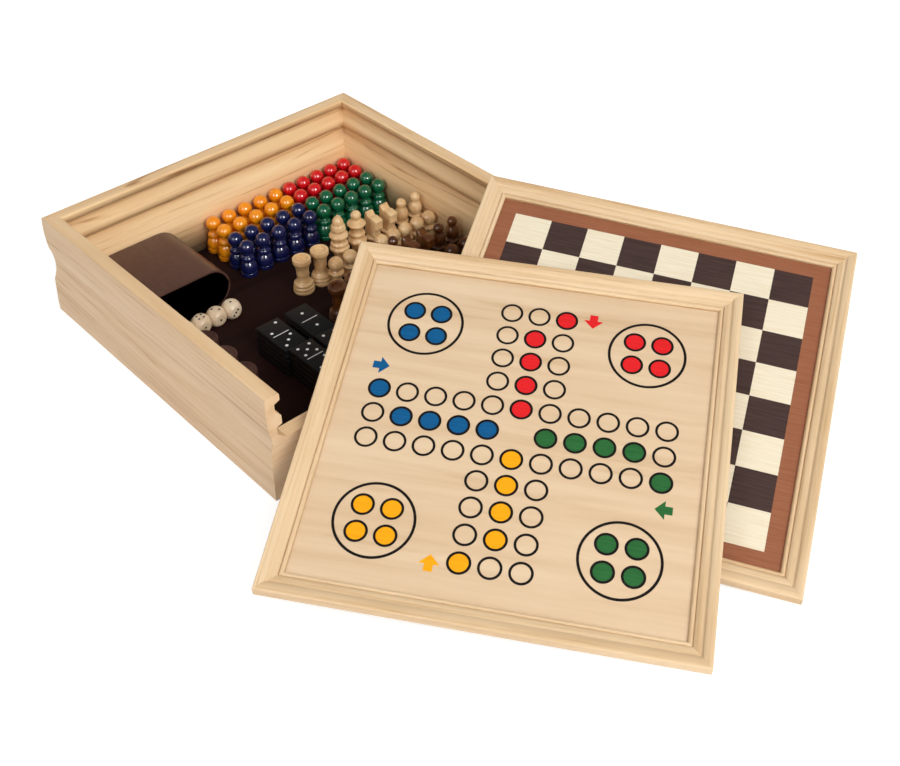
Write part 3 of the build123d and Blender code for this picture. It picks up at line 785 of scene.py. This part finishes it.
die = {
    "ball": 8.4,  # radius of the ball that rounds the cube's corners
    "cuts": 11,
    "pip": 0.95,
    "pipStep": 2.1,
    "paint": 0.05,
    "lift": 0.005,
}
dieFaces = {  # pips on the top and on the front
    "die_1": (1, 3), "die_2": (2, 1), "die_3": (4, 1), "die_4": (6, 5), "die_5": (3, 6),
}
for name, (top, front) in dieFaces.items():
    low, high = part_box(name)
    size = high - low
    unit = bmesh.new()
    bmesh.ops.create_cube(unit, size=1, matrix=Matrix.Diagonal(size).to_4x4())
    bmesh.ops.subdivide_edges(unit, edges=unit.edges[:], cuts=die["cuts"], use_grid_fill=True)
    for vert in unit.verts:
        vert.co *= min(1, die["ball"] * mm / vert.co.length)
    centre = (low + high) / 2
    bm = setOut(unit, [Matrix.Translation(centre)], name)
    body = "single_die_" + name[-1]
    addPiece(name + "_cube", bm, woods["dieBeech"], body, [name])
    side = next(value for value in (1, 2, 3) if value not in (top, front, 7 - top, 7 - front))
    faces = {
        (0, 0, 1): top, (0, 0, -1): 7 - top, (0, -1, 0): front, (0, 1, 0): 7 - front,
        (1, 0, 0): side, (-1, 0, 0): 7 - side,
    }
    pips = bmesh.new()
    for normal, value in faces.items():
        turn = Vector(normal).to_track_quat("Z", "Y").to_matrix().to_4x4()
        one = bmesh.new()
        mirror = 1 if normal[2] else -1
        for x, y in pipSpots[value]:
            printedDisc(one, mirror * x * die["pipStep"], y * die["pipStep"], die["pip"], die["paint"],
                        segments=pipSides)
        bmesh.ops.translate(one, verts=one.verts, vec=(0, 0, size.z / 2 + die["lift"] * mm))
        bmesh.ops.transform(one, matrix=Matrix.Translation(centre) @ turn, verts=one.verts)
        facePips = bpy.data.meshes.new("facePips")
        one.to_mesh(facePips)
        one.free()
        pips.from_mesh(facePips)
        bpy.data.meshes.remove(facePips)
    bmesh.ops.recalc_face_normals(pips, faces=pips.faces)
    writeGrain(pips, Matrix.Identity(4))
    addPiece(name + "_pips", pips, diePipPaint, body)
print("dice made")


# The dice cup

cup = {
    "wall": 1.6,
    "floor": 3.2,
    "endRound": 3.5,
    "waist": 0.55,  # place of a loop between the mouth and the rounded end
    "sideSteps": 16,
    "endSteps": 6,
}


def cupLoop(bm, width, height, y):
    # one stadium-shaped loop of the cup's wall, in metres, at a place along Y
    radius = height / 2
    reach = width / 2 - radius
    verts = []
    for side in (1, -1):
        for i in range(cup["sideSteps"] + 1):
            turn = pi * i / cup["sideSteps"] - side * pi / 2
            verts.append(bm.verts.new((side * reach + radius * cos(turn), y, radius * sin(turn))))
    edges = [bm.edges.new((verts[i], verts[(i + 1) % len(verts)])) for i in range(len(verts))]
    return verts, edges


def cupSkin(bm, width, height, length, endRound):
    # loops from the mouth to the rounded closed end, bridged, and the end filled
    stations = [(0.0, 0.0), (cup["waist"] * (length - endRound), 0.0)]
    for i in range(cup["endSteps"] + 1):
        turn = pi / 2 * i / cup["endSteps"]
        stations.append((length - endRound + endRound * sin(turn), endRound * (1 - cos(turn))))
    loops = [cupLoop(bm, width - 2 * inset, height - 2 * inset, y) for y, inset in stations]
    for one, two in zip(loops, loops[1:]):
        bmesh.ops.bridge_loops(bm, edges=one[1] + two[1])
    bm.faces.new(loops[-1][0])
    return loops[0][1]


low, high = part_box("dice_cup")
width, height, length = high.x - low.x, high.z - low.z, high.y - low.y
bm = bmesh.new()
wall, endRound = cup["wall"] * mm, cup["endRound"] * mm
outerMouth = cupSkin(bm, width, height, length, endRound)
innerMouth = cupSkin(bm, width - 2 * wall, height - 2 * wall, length - cup["floor"] * mm, endRound - wall)
bmesh.ops.bridge_loops(bm, edges=outerMouth + innerMouth)
bmesh.ops.recalc_face_normals(bm, faces=bm.faces)
bmesh.ops.translate(bm, verts=bm.verts, vec=((low.x + high.x) / 2, low.y, (low.z + high.z) / 2))
writeGrain(bm, grainFrame((0, 1, 0), (1, 0, 0)))
# moulded polypropylene: an even brown with a soft satin gloss
cupPlastic = lacquerMaterial("mouldedBrownPlastic", "#5F4036", "#573A31", coat=0.15, roughness=0.42)
addPiece("dice_cup_shell", bm, cupPlastic, "cup", ["dice_cup"], sharpAngle=50)
print("dice cup formed")


# Floor, light and camera

studio = {  # places and widths in metres, powers in watts
    "floorColour": "#F8F8F8",
    "floorHalf": 12,
    "floorDrop": 0.02 * mm,
    "floorShadow": 0.5,  # how much of the floor's own shading shows; the rest is plain white
    "floorGlow": 1.46,
    "skyFill": 0.57,
    "skyGloss": 0.1,  # how bright the sky is in reflections
    "aim": (0.05, 0.05, 0.03),
    "keyPlace": (-0.15, -1.72, 1.38),  # a broad soft key light above the front
    "keyWidth": 1.2,
    "keyPower": 28.5,
    "sidePower": 4.0,
    "leftPlace": (-1.43, -0.45, 0.93),  # two softboxes beside the camera, which show only as twin highlights
    "rightPlace": (-0.25, -1.49, 0.92),
    "boxWidth": 0.45,
    "boxPower": 22.0,
}
scene = bpy.context.scene
scene.view_settings.view_transform = "Standard"

floorMesh = bmesh.new()
bmesh.ops.create_grid(floorMesh, x_segments=1, y_segments=1, size=studio["floorHalf"])
bmesh.ops.translate(floorMesh, verts=floorMesh.verts, vec=(0, 0, -studio["floorDrop"]))
mesh = bpy.data.meshes.new("studioFloor")
floorMesh.to_mesh(mesh)
floorMesh.free()
floor = bpy.data.objects.new("studioFloor", mesh)
scene.collection.objects.link(floor)
material, tree, shader = startMaterial("whiteSweep", {
    "Roughness": 0.9, "Base Color": linear(studio["floorColour"]), "Specular IOR Level": 0.0,
})
light = addNode(tree, "ShaderNodeLightPath")
glow = addNode(tree, "ShaderNodeEmission", {"Color": (1, 1, 1, 1), "Strength": studio["floorGlow"]})
share = addNode(tree, "ShaderNodeMath", {0: light.outputs["Is Camera Ray"], 1: 1 - studio["floorShadow"]},
                operation="MULTIPLY")
glossy = addNode(tree, "ShaderNodeMath", {0: share.outputs[0], 1: light.outputs["Is Glossy Ray"]},
                 operation="MAXIMUM")
mixed = addNode(tree, "ShaderNodeMixShader", {0: glossy.outputs[0], 1: shader.outputs[0], 2: glow.outputs[0]})
tree.links.new(mixed.outputs[0], tree.nodes["Material Output"].inputs["Surface"])
mesh.materials.append(material)

world = bpy.data.worlds.new("studioWorld")
scene.world = world
world.use_nodes = True
tree = world.node_tree
backdrop = tree.nodes["Background"]
backdrop.inputs["Color"].default_value = (1, 1, 1, 1)
light = addNode(tree, "ShaderNodeLightPath")
seen = addNode(tree, "ShaderNodeMath", {0: light.outputs["Is Camera Ray"],
                                        1: light.outputs["Is Transmission Ray"]}, operation="MAXIMUM")
fill = addNode(tree, "ShaderNodeMapRange", {"Value": light.outputs["Is Glossy Ray"],
                                            "To Min": studio["skyFill"], "To Max": studio["skyGloss"]})
strength = addNode(tree, "ShaderNodeMapRange", {"Value": seen.outputs[0], "To Min": fill.outputs[0],
                                                "To Max": 1.0})
tree.links.new(strength.outputs[0], backdrop.inputs["Strength"])


def addSoftbox(name, place, width, power):
    lamp = bpy.data.lights.new(name, "AREA")
    lamp.shape = "SQUARE"
    lamp.size = width
    lamp.energy = power
    holder = bpy.data.objects.new(name, lamp)
    scene.collection.objects.link(holder)
    holder.location = place
    holder.rotation_euler = (Vector(studio["aim"]) - Vector(place)).to_track_quat("-Z", "Y").to_euler()
    return holder


key = addSoftbox("key", studio["keyPlace"], studio["keyWidth"], studio["keyPower"])
side = addSoftbox("side", studio["leftPlace"], studio["boxWidth"], studio["sidePower"])
key.visible_glossy = side.visible_glossy = False
for name in ("left", "right"):
    twin = addSoftbox(name + "Twin", studio[name + "Place"], studio["boxWidth"], studio["boxPower"])
    twin.visible_diffuse = False

photo = {
    "width": 900,
    "height": 766,
    "focal": 1382.2,  # pixels
    "centreX": 469.9,  # where the view's axis meets the photograph, pixels
    "centreY": 226.2,
    "place": (-506.7, -750.7, 677.5),  # millimetres
    "aim": (175.4, 10.3, 0.0),
    "roll": -0.97,  # degrees
    "sensor": 36,  # millimetres
    "nearest": 0.05,  # metres that the view reaches from and to
    "furthest": 50,
}
camera = bpy.data.cameras.new("photoCamera")
camera.sensor_width = photo["sensor"]
camera.lens = photo["sensor"] * photo["focal"] / photo["width"]
camera.shift_x = (photo["width"] / 2 - photo["centreX"]) / photo["width"]
camera.shift_y = (photo["centreY"] - photo["height"] / 2) / photo["width"]
camera.clip_start, camera.clip_end = photo["nearest"], photo["furthest"]
holder = bpy.data.objects.new("photoCamera", camera)
scene.collection.objects.link(holder)
place, aim = Vector(photo["place"]) * mm, Vector(photo["aim"]) * mm
look = (aim - place).to_track_quat("-Z", "Y").to_matrix().to_4x4()
holder.matrix_world = Matrix.Translation(place) @ look @ Matrix.Rotation(radians(photo["roll"]), 4, "Z")
scene.camera = holder
print("camera set")

print("scene ready")
